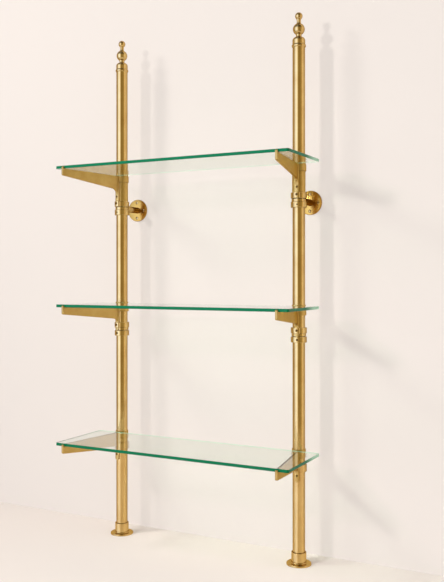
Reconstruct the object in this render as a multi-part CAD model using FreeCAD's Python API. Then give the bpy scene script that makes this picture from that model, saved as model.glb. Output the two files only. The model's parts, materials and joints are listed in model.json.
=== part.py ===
import FreeCAD, Part
import math
import os

# Wall-fixed etagere: two brass tube posts, each with three cast shelf brackets, carry three glass
# shelves that lie loose between the brackets' upturned lips and their rings. Each post stands in a
# floor flange, is joined from two tubes, and is tied to the wall by a tee, an arm and a wall flange.
#
# X runs along the shelves, Y towards the wall and Z up. The origin is on the floor, at the middle
# of the footprint. All sizes are in millimetres.

# ---------------------------------------------------------------- driving dimensions
# Posts
POST_SPACING = 680.0
POST_TOP = 1648.0
TUBE_DIAMETER = 40.0
TUBE_WALL = 2.0
WALL_DISTANCE = 104.0

# Glass shelves
SHELF_LEVELS = ("bottom", "middle", "top")
LOWEST_SHELF_TOP = 365.5
SHELF_PITCH = 459.5
GLASS_OVERHANG = 79.0
GLASS_DEPTH = 250.0
GLASS_THICKNESS = 9.5
GLASS_CORNER_RADIUS = 7.0
GLASS_ARRIS = 0.8

# Cast bracket: stepped ring round the post, blade under the glass, lip in front of it and a tail
# down the post. The ring's step carries the glass's rear edge and its thin upstand stops it.
SPLAY_ANGLE = 9.0
RING_WALL = 4.0
RING_DROP = 22.0
UPSTAND_WALL = 2.2
UPSTAND_RISE = 2.5
UPSTAND_CHAMFER = 0.5
BARREL_WALL = 1.4
BLADE_THICKNESS = 8.0
BLADE_TIP_DEPTH = 23.0
BLADE_ROOT_DEPTH = 48.0
LIP_THICKNESS = 6.5
LIP_BELOW_GLASS_TOP = 3.0
NOSE_RADIUS = 4.0
EDGE_ROUND = 1.2
WEB_FLARE = 2.8
TAIL_WIDTH = 14.5
TAIL_THICKNESS = 7.0
LONG_TAIL = 108.6
LONG_TAIL_HEEL = 20.0
LONG_TAIL_SCREW_RISE = 11.2
LONG_TAIL_SCREW_PITCH = 23.9
SHORT_TAIL = 89.4
SHORT_TAIL_HEEL = 11.5
SHORT_TAIL_SCREW_RISE = 20.4

# Two-banded sleeve, used as the post joiner and as the body of the wall tee
BAND_WALL = 5.5
BAND_HEIGHT = 18.5
WAIST_WALL = 3.2
WAIST_HEIGHT = 10.8
SEAM_HEIGHT = 2.0
SEAM_DEPTH = 2.2
BAND_CHAMFER = 1.0
BRIDGE_WALL = 2.5
BRIDGE_ROUND = 5.0
ACCESS_DIAMETER = 9.5

# Stop collar under the bottom brackets
COLLAR_DROP = 36.0
COLLAR_HEIGHT = 23.0

# Tee boss, arm and wall flange
BOSS_DIAMETER = 25.0
BOSS_STAND_OFF = 6.5
ARM_DIAMETER = 22.0
ARM_SPIGOT_DIAMETER = 12.0
ARM_SPIGOT_LENGTH = 9.0
ARM_END_GAP = 1.0
WALL_FLANGE_DIAMETER = 80.0
WALL_FLANGE_RIM = 5.0
WALL_FLANGE_CROWN = 8.5
WALL_FLANGE_ROUND = 1.8
WALL_BOLT_CIRCLE = 56.0
WALL_BOLT_COUNT = 4
WALL_HOLE_DIAMETER = 5.5
WALL_SINK_DIAMETER = 10.5

# Floor flange
FLOOR_FLANGE_DIAMETER = 80.0
FLOOR_FLANGE_THICKNESS = 6.0
FLOOR_FLANGE_ROUND = 3.0
SOCKET_FLOOR = 3.0
HUB_WALL = 4.0
HUB_HEIGHT = 34.0
HUB_ROOT_RADIUS = 3.0
HUB_RIM_WIDTH = 2.4
HUB_RIM_DEPTH = 2.8

# Finial, from the tube's end upwards
PLUG_LENGTH = 22.0
BEAD_HEIGHT = 10.5
BEAD_PROUD = 2.6
DOME_SIDE = 12.0
DOME_PROUD = 0.3
LOWER_NECK_DIAMETER = 19.5
LOWER_NECK_HEIGHT = 9.5
LARGE_BALL_DIAMETER = 38.0
UPPER_NECK_DIAMETER = 15.0
UPPER_NECK_HEIGHT = 15.0
SMALL_BALL_DIAMETER = 24.0
NECK_COVE = 0.9

# Screws
SCREW_DIAMETER = 4.0
SCREW_HEAD_DIAMETER = 8.0
SCREW_SUNK = 0.5
SCREW_REACH = 3.0
GRUB_DIAMETER = 5.0
JOINER_GRUB_DIAMETER = 8.0
GRUB_RECESS = 1.8

# Clearances
FIT = 0.05
NOTCH_GAP = 0.3
GLASS_GAP = 0.8

# ---------------------------------------------------------------- sizes that follow
TUBE_RADIUS = TUBE_DIAMETER / 2
BORE_RADIUS = TUBE_RADIUS + FIT
RING_RADIUS = BORE_RADIUS + RING_WALL
UPSTAND_RADIUS = BORE_RADIUS + UPSTAND_WALL
BARREL_RADIUS = BORE_RADIUS + BARREL_WALL
TAIL_RADIUS = BORE_RADIUS + TAIL_THICKNESS
BAND_RADIUS = BORE_RADIUS + BAND_WALL
WAIST_RADIUS = BORE_RADIUS + WAIST_WALL
BRIDGE_RADIUS = TAIL_RADIUS + NOTCH_GAP + BRIDGE_WALL
SLEEVE_HEIGHT = 2 * BAND_HEIGHT + WAIST_HEIGHT
BOSS_REACH = BAND_RADIUS + BOSS_STAND_OFF

SPLAY = math.radians(SPLAY_ANGLE)
GLASS_REAR = UPSTAND_RADIUS + GLASS_GAP
GLASS_FRONT = GLASS_REAR + GLASS_DEPTH
GLASS_LENGTH = POST_SPACING + 2 * GLASS_OVERHANG
LIP_REAR = (GLASS_FRONT + GLASS_GAP + BLADE_THICKNESS / 2 * math.sin(SPLAY)) / math.cos(SPLAY)
LIP_FRONT = LIP_REAR + LIP_THICKNESS
LIP_TOP = GLASS_THICKNESS - LIP_BELOW_GLASS_TOP

SHELF_TOPS = {
    level: LOWEST_SHELF_TOP + step * SHELF_PITCH for step, level in enumerate(SHELF_LEVELS)
}
SHELF_UNDERSIDES = {level: top - GLASS_THICKNESS for level, top in SHELF_TOPS.items()}
JOINT_HEIGHT = SHELF_UNDERSIDES["middle"] - SHORT_TAIL + WAIST_HEIGHT / 2
TEE_HEIGHT = SHELF_UNDERSIDES["top"] - LONG_TAIL - WAIST_HEIGHT / 2
COLLAR_TOP = SHELF_UNDERSIDES["bottom"] - COLLAR_DROP

# Each level's tail, heel, screw drops and the foot of its ring, which on the long tail is drawn out
# into a barrel that reaches down to the tee.
BARREL_DROP = LONG_TAIL - BAND_HEIGHT - NOTCH_GAP
SHORT_TAIL_SCREWS = (SHORT_TAIL - SHORT_TAIL_SCREW_RISE,)
LONG_TAIL_LOW_SCREW = LONG_TAIL - LONG_TAIL_SCREW_RISE
LONG_TAIL_SCREWS = (LONG_TAIL_LOW_SCREW - LONG_TAIL_SCREW_PITCH, LONG_TAIL_LOW_SCREW)
TAILS = {
    "bottom": (SHORT_TAIL, SHORT_TAIL_HEEL, SHORT_TAIL_SCREWS, RING_DROP),
    "middle": (SHORT_TAIL, SHORT_TAIL_HEEL, SHORT_TAIL_SCREWS, RING_DROP),
    "top": (LONG_TAIL, LONG_TAIL_HEEL, LONG_TAIL_SCREWS, BARREL_DROP),
}
SIDES = {"left": -1, "right": 1}

UP = FreeCAD.Vector(0, 0, 1)
ORIGIN = FreeCAD.Vector(0, 0, 0)


# ---------------------------------------------------------------- building blocks
def at(reach, height):
    """Point of an outline, which lies in the XZ plane."""
    return FreeCAD.Vector(reach, 0, height)


def line(start, end):
    return Part.LineSegment(at(*start), at(*end)).toShape()


def arc(start, middle, end):
    return Part.Arc(at(*start), at(*middle), at(*end)).toShape()


def rounded(start, corner, end):
    """Arc from start to end, tangent to the lines through corner, which is as far from both."""
    begin, apex, finish = at(*start), at(*corner), at(*end)
    to_chord = (begin + finish) / 2 - apex
    leg = (begin - apex).Length
    radius = leg * (finish - begin).Length / 2 / to_chord.Length
    middle = apex + to_chord.normalize() * (math.hypot(leg, radius) - radius)
    return Part.Arc(begin, middle, finish).toShape()


def polyline(points):
    return [line(start, end) for start, end in zip(points, points[1:])]


def face(edges):
    return Part.Face(Part.Wire(edges))


def turned(edges):
    """Solid that a lathe makes from a closed outline, about Z."""
    return face(edges).revolve(ORIGIN, UP, 360)


def turned_ring(inner, outer, low, high, chamfer):
    """Plain ring about Z with both outer edges chamfered."""
    outline = [(inner, low), *band_outline(outer, low, high, chamfer), (inner, high), (inner, low)]
    return turned(polyline(outline))


def band_outline(radius, low, high, chamfer):
    """Outer outline of one raised band, from low to high."""
    return [
        (radius - chamfer, low),
        (radius, low + chamfer),
        (radius, high - chamfer),
        (radius - chamfer, high),
    ]


def annulus(inner, outer, low, high):
    """Plain square-edged ring about Z."""
    disc = Part.makeCylinder(outer, high - low, at(0, low))
    return disc.cut(Part.makeCylinder(inner, high - low, at(0, low)))


def radial_cylinder(radius, start, end, height):
    """Cylinder along +X at a height, from one distance off the axis to another."""
    return Part.makeCylinder(radius, end - start, at(start, height), FreeCAD.Vector(1, 0, 0))


def upright(shape, side, height, turn=0.0):
    """Place a piece that was made about Z on one of the posts."""
    placed = shape.copy()
    placed.rotate(ORIGIN, UP, turn)
    placed.translate(FreeCAD.Vector(SIDES[side] * POST_SPACING / 2, POST_Y, height))
    return placed


def bracket_turn(side):
    """Angle that brings +X to the bracket's direction, forwards and splayed outwards."""
    return -90 + SIDES[side] * SPLAY_ANGLE


def save(node, solids):
    """Write one sub-part, a single solid or a group of equal fasteners."""
    shape = solids[0] if len(solids) == 1 else Part.makeCompound(solids)
    shape.exportStep("parts/" + node + ".step")


# ---------------------------------------------------------------- bracket
def tongue(width, length, reach):
    """Flat bar with a round lower end, facing +X, whose top is at the glass's underside."""
    half = width / 2
    shoulder = length - half
    outline = [
        line((-half, 0), (half, 0)),
        line((half, 0), (half, -shoulder)),
        arc((half, -shoulder), (0, -length), (-half, -shoulder)),
        line((-half, -shoulder), (-half, 0)),
    ]
    bar = face(outline).extrude(FreeCAD.Vector(0, reach, 0))
    bar.rotate(ORIGIN, UP, -90)
    return bar


def tail_notch(tail):
    """Cutter that lets a sleeve or collar pass round a bracket's tail, with room in front of it."""
    round_bar = Part.makeCylinder(TAIL_RADIUS + NOTCH_GAP, 2 * tail, at(0, -2 * tail))
    return tongue(TAIL_WIDTH + 2 * NOTCH_GAP, tail + NOTCH_GAP, 2 * BAND_RADIUS).common(round_bar)


def blade_outline(heel):
    """Side view of the blade, its lip and its heel."""
    lip_round = LIP_THICKNESS / 2
    slope = math.atan2(BLADE_ROOT_DEPTH - BLADE_TIP_DEPTH, LIP_FRONT - TAIL_RADIUS)
    corner = (TAIL_RADIUS, -BLADE_ROOT_DEPTH)
    heel_end = (TAIL_RADIUS, -BLADE_ROOT_DEPTH - heel)
    heel_start = (TAIL_RADIUS + heel * math.cos(slope), -BLADE_ROOT_DEPTH + heel * math.sin(slope))
    nose_low = (
        LIP_FRONT - NOSE_RADIUS * math.cos(slope),
        -BLADE_TIP_DEPTH - NOSE_RADIUS * math.sin(slope),
    )
    nose_high = (LIP_FRONT, -BLADE_TIP_DEPTH + NOSE_RADIUS)
    return [
        line((TUBE_RADIUS, 0), (LIP_REAR, 0)),
        line((LIP_REAR, 0), (LIP_REAR, LIP_TOP - lip_round)),
        arc(
            (LIP_REAR, LIP_TOP - lip_round),
            (LIP_REAR + lip_round, LIP_TOP),
            (LIP_FRONT, LIP_TOP - lip_round),
        ),
        line((LIP_FRONT, LIP_TOP - lip_round), nose_high),
        rounded(nose_high, (LIP_FRONT, -BLADE_TIP_DEPTH), nose_low),
        line(nose_low, heel_start),
        rounded(heel_start, corner, heel_end),
        line(heel_end, (TUBE_RADIUS, heel_end[1])),
        line((TUBE_RADIUS, heel_end[1]), (TUBE_RADIUS, 0)),
    ]


def plate(outline, thickness):
    """Flat plate of an outline in the XZ plane, centred on that plane."""
    solid = face(outline).extrude(FreeCAD.Vector(0, thickness, 0))
    solid.translate(FreeCAD.Vector(0, -thickness / 2, 0))
    return solid


def blade(heel):
    """The blade with its long edges rounded as cast."""
    solid = plate(blade_outline(heel), BLADE_THICKNESS)
    rim = [edge for edge in solid.Edges if edge.BoundBox.YLength < FIT and edge.BoundBox.XMax > TAIL_RADIUS]
    return solid.makeFillet(EDGE_ROUND, rim)


def web_flare(heel):
    """Flared root of the blade, where it grows out of the tail, cut to the blade's side view."""
    wide = BLADE_THICKNESS / 2 + WEB_FLARE
    narrow = BLADE_THICKNESS / 2
    back = math.sqrt(TAIL_RADIUS ** 2 - wide ** 2)
    tip = TAIL_RADIUS + WEB_FLARE
    slant = math.sqrt(0.5)
    half = [
        FreeCAD.Vector(back, wide, 0),
        FreeCAD.Vector(tip + (back - tip) * slant, wide - WEB_FLARE * slant, 0),
        FreeCAD.Vector(tip, narrow, 0),
    ]
    other = [FreeCAD.Vector(point.x, -point.y, 0) for point in half]
    rear = [FreeCAD.Vector(TUBE_RADIUS, -wide, 0), FreeCAD.Vector(TUBE_RADIUS, wide, 0)]
    edges = [
        Part.Arc(*half).toShape(),
        Part.LineSegment(half[2], other[2]).toShape(),
        Part.Arc(*reversed(other)).toShape(),
        Part.LineSegment(other[0], rear[0]).toShape(),
        Part.LineSegment(rear[0], rear[1]).toShape(),
        Part.LineSegment(rear[1], half[0]).toShape(),
    ]
    depth = BLADE_ROOT_DEPTH + heel
    column = face(edges).extrude(FreeCAD.Vector(0, 0, depth))
    column.translate(FreeCAD.Vector(0, 0, -depth))
    return column.common(plate(blade_outline(heel), 2 * wide))


def screw(tail_radius, height, grow=0.0):
    """Countersunk screw along X at a height, its head sunk in the tail. grow makes it a cutter."""
    head = tail_radius - SCREW_SUNK
    head_radius = SCREW_HEAD_DIAMETER / 2 + grow
    shank_radius = SCREW_DIAMETER / 2 + grow
    throat = head - (head_radius - shank_radius)
    tip = TUBE_RADIUS - TUBE_WALL - SCREW_REACH
    mouth = head + (2 * SCREW_SUNK if grow else 0)
    outline = [(0, tip), (shank_radius, tip), (shank_radius, throat), (head_radius, head)]
    if grow:
        outline.append((head_radius, mouth))
    outline += [(0, mouth), (0, tip)]
    solid = turned(polyline(outline))
    solid.rotate(ORIGIN, FreeCAD.Vector(0, 1, 0), 90)
    solid.translate(FreeCAD.Vector(0, 0, height))
    return solid


def stepped_ring(foot):
    """Ring with an upstand behind the glass, drawn out into a thin barrel where foot lies below it."""
    rim = GLASS_THICKNESS + UPSTAND_RISE
    step = turned_ring(BORE_RADIUS, RING_RADIUS, -RING_DROP, 0, BAND_CHAMFER)
    rest = [turned_ring(BORE_RADIUS, UPSTAND_RADIUS, -RING_DROP / 2, rim, UPSTAND_CHAMFER)]
    if foot > RING_DROP:
        rest.append(annulus(BORE_RADIUS, BARREL_RADIUS, -foot, 0))
    return step.fuse(rest)


def bracket(tail, heel, screw_drops, foot):
    """Cast bracket about its post's axis, pointing along +X, glass underside at height 0."""
    strap = annulus(BORE_RADIUS, TAIL_RADIUS, -tail, 0).common(tongue(TAIL_WIDTH, tail, 2 * TAIL_RADIUS))
    body = stepped_ring(foot).fuse([strap, blade(heel), web_flare(heel)])
    body = body.cut(Part.makeCylinder(BORE_RADIUS, tail + 2 * GLASS_THICKNESS, at(0, -tail)))
    for drop in screw_drops:
        body = body.cut(screw(TAIL_RADIUS, -drop, FIT))
    return body.removeSplitter()


# ---------------------------------------------------------------- post
def tube(low, high, screw_heights, turn):
    """Post tube between two heights, drilled where bracket screws pass."""
    solid = annulus(TUBE_RADIUS - TUBE_WALL, TUBE_RADIUS, low, high)
    for height in screw_heights:
        hole = radial_cylinder(SCREW_DIAMETER / 2 + FIT, 0, 2 * TUBE_RADIUS, height)
        hole.rotate(ORIGIN, UP, turn)
        solid = solid.cut(hole)
    return solid


def bridge(low, high):
    """Rounded bulge of a band, which carries the band across a bracket's tail."""
    half = TAIL_WIDTH / 2 + NOTCH_GAP + BRIDGE_WALL
    block = Part.makeBox(BRIDGE_RADIUS, 2 * half, high - low, FreeCAD.Vector(0, -half, low))
    front = [edge for edge in block.Edges if edge.BoundBox.XMin > FIT and edge.BoundBox.ZLength > FIT]
    round_bar = turned_ring(0, BRIDGE_RADIUS, low, high, BAND_CHAMFER)
    return block.makeFillet(BRIDGE_ROUND, front).common(round_bar)


def sleeve(seam, screw_height, grub_diameter):
    """Bored sleeve with two bands, centred on height 0, with a seam next to the upper or lower band.

    The upper band bulges on the +X side and lets the tail in under the bulge, down to the seam. A
    hole through the bulge gives access to the tail's screw. seam is 1 for a seam under the upper
    band and -1 for one on the lower band.
    """
    half = SLEEVE_HEIGHT / 2
    waist = WAIST_HEIGHT / 2
    seam_low, seam_high = sorted((seam * waist, seam * (waist - SEAM_HEIGHT)))
    groove = WAIST_RADIUS - SEAM_DEPTH
    body = turned_ring(0, BAND_RADIUS, waist, half, BAND_CHAMFER)
    body = body.fuse([
        turned_ring(0, BAND_RADIUS, -half, -waist, BAND_CHAMFER),
        Part.makeCylinder(WAIST_RADIUS, WAIST_HEIGHT, at(0, -waist)),
        bridge(waist, half),
    ])
    body = body.cut(annulus(groove, WAIST_RADIUS, seam_low, seam_high))
    body = body.cut(Part.makeCylinder(BORE_RADIUS, SLEEVE_HEIGHT, at(0, -half)))
    body = body.cut(raised(tail_notch(SLEEVE_HEIGHT), SLEEVE_HEIGHT + seam * waist))
    access = radial_cylinder(ACCESS_DIAMETER / 2, 0, 2 * BRIDGE_RADIUS, screw_height)
    grub = raised(grub_hole(BAND_RADIUS, grub_diameter), grub_height())
    return body.cut(access).cut(grub).removeSplitter()


def grub_height():
    """Height of a grub screw in the sleeve's lower band."""
    return (BAND_HEIGHT - SLEEVE_HEIGHT) / 2


def grub_screw(wall_radius, diameter=GRUB_DIAMETER):
    """Grub screw along +X, tight on the tube and sunk below the surface it is screwed into."""
    return radial_cylinder(diameter / 2, TUBE_RADIUS, wall_radius - GRUB_RECESS, 0)


def grub_hole(wall_radius, diameter=GRUB_DIAMETER):
    return radial_cylinder(diameter / 2 + FIT, 0, 2 * wall_radius, 0)


def raised(shape, height):
    moved = shape.copy()
    moved.translate(FreeCAD.Vector(0, 0, height))
    return moved


def tee(turn, screw_height):
    """Sleeve with a rear boss along +Y that takes the wall arm's spigot."""
    towards_wall = FreeCAD.Vector(0, 1, 0)
    body = sleeve(1, screw_height, GRUB_DIAMETER)
    body.rotate(ORIGIN, UP, turn)
    boss = Part.makeCylinder(BOSS_DIAMETER / 2, BOSS_REACH, ORIGIN, towards_wall)
    body = body.fuse(boss.cut(Part.makeCylinder(BORE_RADIUS, SLEEVE_HEIGHT, at(0, -SLEEVE_HEIGHT / 2))))
    socket_floor = BOSS_REACH - ARM_SPIGOT_LENGTH - ARM_END_GAP
    socket_radius = ARM_SPIGOT_DIAMETER / 2 + FIT
    reach = BOSS_REACH - socket_floor
    mouth = FreeCAD.Vector(0, socket_floor, 0)
    body = body.cut(Part.makeCylinder(socket_radius, reach, mouth, towards_wall))
    return body.removeSplitter()


def stop_collar():
    """Collar on the bottom bracket's tail, its top at height 0, open where the tail passes."""
    ring = turned_ring(BORE_RADIUS, BAND_RADIUS, -COLLAR_HEIGHT, 0, BAND_CHAMFER)
    ring = ring.cut(raised(tail_notch(SHORT_TAIL), COLLAR_DROP))
    hole = raised(grub_hole(BAND_RADIUS), -COLLAR_HEIGHT / 2)
    hole.rotate(ORIGIN, UP, 180)
    return ring.cut(hole)


def floor_flange():
    """Round base with a rounded edge and a hub, bored as a blind socket for the tube."""
    rim = FLOOR_FLANGE_DIAMETER / 2
    hub = BORE_RADIUS + HUB_WALL
    deck = FLOOR_FLANGE_THICKNESS
    top = deck + HUB_HEIGHT
    edge = FLOOR_FLANGE_ROUND
    outline = [
        line((0, 0), (rim, 0)),
        line((rim, 0), (rim, deck - edge)),
        rounded((rim, deck - edge), (rim, deck), (rim - edge, deck)),
        line((rim - edge, deck), (hub + HUB_ROOT_RADIUS, deck)),
        rounded((hub + HUB_ROOT_RADIUS, deck), (hub, deck), (hub, deck + HUB_ROOT_RADIUS)),
        *polyline([
            (hub, deck + HUB_ROOT_RADIUS),
            (hub, top - BAND_CHAMFER),
            (hub - BAND_CHAMFER, top),
            (BORE_RADIUS + HUB_RIM_WIDTH, top),
            (BORE_RADIUS, top - HUB_RIM_DEPTH),
            (BORE_RADIUS, SOCKET_FLOOR),
            (0, SOCKET_FLOOR),
            (0, 0),
        ]),
    ]
    hole = raised(grub_hole(hub), deck + HUB_HEIGHT / 2)
    hole.rotate(ORIGIN, UP, 90)
    return turned(outline).cut(hole)


# ---------------------------------------------------------------- wall fixing
def wall_flange():
    """Round crowned flange, its back at height 0, bored for the arm and drilled for wall screws."""
    rim = WALL_FLANGE_DIAMETER / 2
    seat = ARM_DIAMETER / 2 + BAND_CHAMFER
    edge = WALL_FLANGE_ROUND
    shoulder = (rim - edge, WALL_FLANGE_RIM)
    halfway = ((shoulder[0] + seat) / 2, (WALL_FLANGE_RIM + 2 * WALL_FLANGE_CROWN) / 3)
    bore = ARM_SPIGOT_DIAMETER / 2 + FIT
    outline = [
        line((bore, 0), (rim, 0)),
        line((rim, 0), (rim, WALL_FLANGE_RIM - edge)),
        rounded((rim, WALL_FLANGE_RIM - edge), (rim, WALL_FLANGE_RIM), shoulder),
        arc(shoulder, halfway, (seat, WALL_FLANGE_CROWN)),
        line((seat, WALL_FLANGE_CROWN), (bore, WALL_FLANGE_CROWN)),
        line((bore, WALL_FLANGE_CROWN), (bore, 0)),
    ]
    body = turned(outline)
    hole_radius = WALL_HOLE_DIAMETER / 2
    sink_radius = WALL_SINK_DIAMETER / 2
    sink_depth = sink_radius - hole_radius
    for step in range(WALL_BOLT_COUNT):
        hole = Part.makeCylinder(hole_radius, WALL_FLANGE_CROWN)
        sink = Part.makeCone(hole_radius, sink_radius, sink_depth, at(0, WALL_FLANGE_RIM - sink_depth))
        relief = Part.makeCylinder(sink_radius, WALL_FLANGE_CROWN, at(0, WALL_FLANGE_RIM))
        cutter = hole.fuse([sink, relief])
        cutter.translate(at(WALL_BOLT_CIRCLE / 2, 0))
        cutter.rotate(ORIGIN, UP, step * 360 / WALL_BOLT_COUNT)
        body = body.cut(cutter)
    return body


def arm():
    """Round arm from the crown of the wall flange to the tee's boss, with a spigot at each end."""
    length = WALL_DISTANCE - BOSS_REACH
    spigot = ARM_SPIGOT_DIAMETER / 2
    body = ARM_DIAMETER / 2
    outline = [
        (0, ARM_END_GAP),
        (spigot, ARM_END_GAP),
        (spigot, WALL_FLANGE_CROWN),
        (body, WALL_FLANGE_CROWN),
        (body, length),
        (spigot, length),
        (spigot, length + ARM_SPIGOT_LENGTH),
        (0, length + ARM_SPIGOT_LENGTH),
        (0, ARM_END_GAP),
    ]
    return turned(polyline(outline))


def against_wall(shape, side):
    """Place a piece made about Z, back at height 0, with its back on the wall behind a post."""
    placed = shape.copy()
    placed.rotate(ORIGIN, FreeCAD.Vector(1, 0, 0), 90)
    placed.translate(FreeCAD.Vector(SIDES[side] * POST_SPACING / 2, POST_Y + WALL_DISTANCE, TEE_HEIGHT))
    return placed


# ---------------------------------------------------------------- finial
def finial():
    """Turned finial: plug, bead, dome, neck, large ball, neck and small ball, tube end at height 0."""
    plug = TUBE_RADIUS - TUBE_WALL - FIT
    dome_foot = TUBE_RADIUS + DOME_PROUD
    dome_round = dome_foot - LOWER_NECK_DIAMETER / 2
    dome_shoulder = BEAD_HEIGHT + DOME_SIDE
    dome_top = dome_shoulder + dome_round
    neck = LOWER_NECK_DIAMETER / 2
    slim = UPPER_NECK_DIAMETER / 2
    ball = LARGE_BALL_DIAMETER / 2
    knob = SMALL_BALL_DIAMETER / 2
    ball_foot = dome_top + LOWER_NECK_HEIGHT
    ball_centre = ball_foot + math.sqrt(ball ** 2 - neck ** 2)
    ball_head = ball_centre + math.sqrt(ball ** 2 - slim ** 2)
    knob_foot = ball_head + UPPER_NECK_HEIGHT
    knob_centre = knob_foot + math.sqrt(knob ** 2 - slim ** 2)
    bead = TUBE_RADIUS + BEAD_PROUD
    cove_mid = (dome_top + ball_foot) / 2
    slim_mid = (ball_head + knob_foot) / 2
    outline = [
        *polyline([(0, -PLUG_LENGTH), (plug, -PLUG_LENGTH), (plug, 0), (dome_foot, 0)]),
        arc((dome_foot, 0), (bead, BEAD_HEIGHT / 2), (dome_foot, BEAD_HEIGHT)),
        line((dome_foot, BEAD_HEIGHT), (dome_foot, dome_shoulder)),
        rounded((dome_foot, dome_shoulder), (dome_foot, dome_top), (neck, dome_top)),
        arc((neck, dome_top), (neck - NECK_COVE, cove_mid), (neck, ball_foot)),
        arc((neck, ball_foot), (ball, ball_centre), (slim, ball_head)),
        arc((slim, ball_head), (slim - NECK_COVE, slim_mid), (slim, knob_foot)),
        arc((slim, knob_foot), (knob, knob_centre), (0, knob_centre + knob)),
        line((0, knob_centre + knob), (0, -PLUG_LENGTH)),
    ]
    return turned(outline)


# ---------------------------------------------------------------- glass
def glass_shelf(level):
    """Glass plate with rounded corners and ground arrises."""
    half = GLASS_LENGTH / 2
    plate_box = Part.makeBox(
        GLASS_LENGTH, GLASS_DEPTH, GLASS_THICKNESS,
        FreeCAD.Vector(-half, POST_Y - GLASS_FRONT, SHELF_UNDERSIDES[level]),
    )
    corners = [edge for edge in plate_box.Edges if edge.BoundBox.ZLength > GLASS_THICKNESS / 2]
    rounded = plate_box.makeFillet(GLASS_CORNER_RADIUS, corners)
    rims = [edge for edge in rounded.Edges if edge.BoundBox.ZLength < FIT]
    return rounded.makeChamfer(GLASS_ARRIS, rims)


# ---------------------------------------------------------------- assembly
def front_reach():
    """How far a splayed bracket's rounded front edge reaches in front of its post's axis."""
    flat = BLADE_THICKNESS / 2 - EDGE_ROUND
    return (LIP_FRONT - EDGE_ROUND) * math.cos(SPLAY) + flat * math.sin(SPLAY) + EDGE_ROUND


def build_post(side):
    """Write everything that stands on one post."""
    turn = bracket_turn(side)
    screw_heights = {
        level: [SHELF_UNDERSIDES[level] - drop for drop in TAILS[level][2]] for level in SHELF_LEVELS
    }
    lower = tube(SOCKET_FLOOR, JOINT_HEIGHT, screw_heights["bottom"], turn)
    upper = tube(JOINT_HEIGHT, POST_TOP, screw_heights["middle"] + screw_heights["top"], turn)
    save("lower_tube_" + side, [upright(lower, side, 0)])
    save("upper_tube_" + side, [upright(upper, side, 0)])

    save("floor_flange_" + side, [upright(floor_flange(), side, 0)])
    hub_grub = grub_screw(BORE_RADIUS + HUB_WALL)
    save("floor_flange_grub_" + side, [upright(hub_grub, side, FLOOR_FLANGE_THICKNESS + HUB_HEIGHT / 2, 90)])
    joiner = sleeve(-1, screw_heights["middle"][-1] - JOINT_HEIGHT, JOINER_GRUB_DIAMETER)
    save("joiner_" + side, [upright(joiner, side, JOINT_HEIGHT, turn)])
    joiner_grub = grub_screw(BAND_RADIUS, JOINER_GRUB_DIAMETER)
    save("joiner_grub_" + side, [upright(joiner_grub, side, JOINT_HEIGHT + grub_height(), turn)])
    band_grub = grub_screw(BAND_RADIUS)
    save("stop_collar_" + side, [upright(stop_collar(), side, COLLAR_TOP, turn)])
    save("stop_collar_grub_" + side, [upright(band_grub, side, COLLAR_TOP - COLLAR_HEIGHT / 2, turn + 180)])
    save("finial_" + side, [upright(finial(), side, POST_TOP)])

    wall_tee = tee(turn, screw_heights["top"][-1] - TEE_HEIGHT)
    save("wall_tee_" + side, [upright(wall_tee, side, TEE_HEIGHT)])
    save("wall_tee_grub_" + side, [upright(band_grub, side, TEE_HEIGHT + grub_height(), turn)])
    save("wall_arm_" + side, [against_wall(arm(), side)])
    save("wall_flange_" + side, [against_wall(wall_flange(), side)])

    for level in SHELF_LEVELS:
        height = SHELF_UNDERSIDES[level]
        tail, heel, drops, foot = TAILS[level]
        name = level + "_" + side
        save("bracket_" + name, [upright(bracket(tail, heel, drops, foot), side, height, turn)])
        screws = [upright(screw(TAIL_RADIUS, -drop), side, height, turn) for drop in drops]
        save("bracket_screws_" + name, screws)


POST_Y = (front_reach() - WALL_DISTANCE) / 2

os.makedirs("parts", exist_ok=True)
for side_name in SIDES:
    build_post(side_name)
for level_name in SHELF_LEVELS:
    save("glass_shelf_" + level_name, [glass_shelf(level_name)])
print("post axis at Y %.3f, joint %.1f, tee %.1f" % (POST_Y, JOINT_HEIGHT, TEE_HEIGHT))
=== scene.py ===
"""Wall-fixed brass and glass etagere: finishes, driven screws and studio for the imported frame."""

import json
import logging
import math
from dataclasses import dataclass, field
from enum import Enum

import bmesh
import bpy
from mathutils import Matrix, Vector

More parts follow.
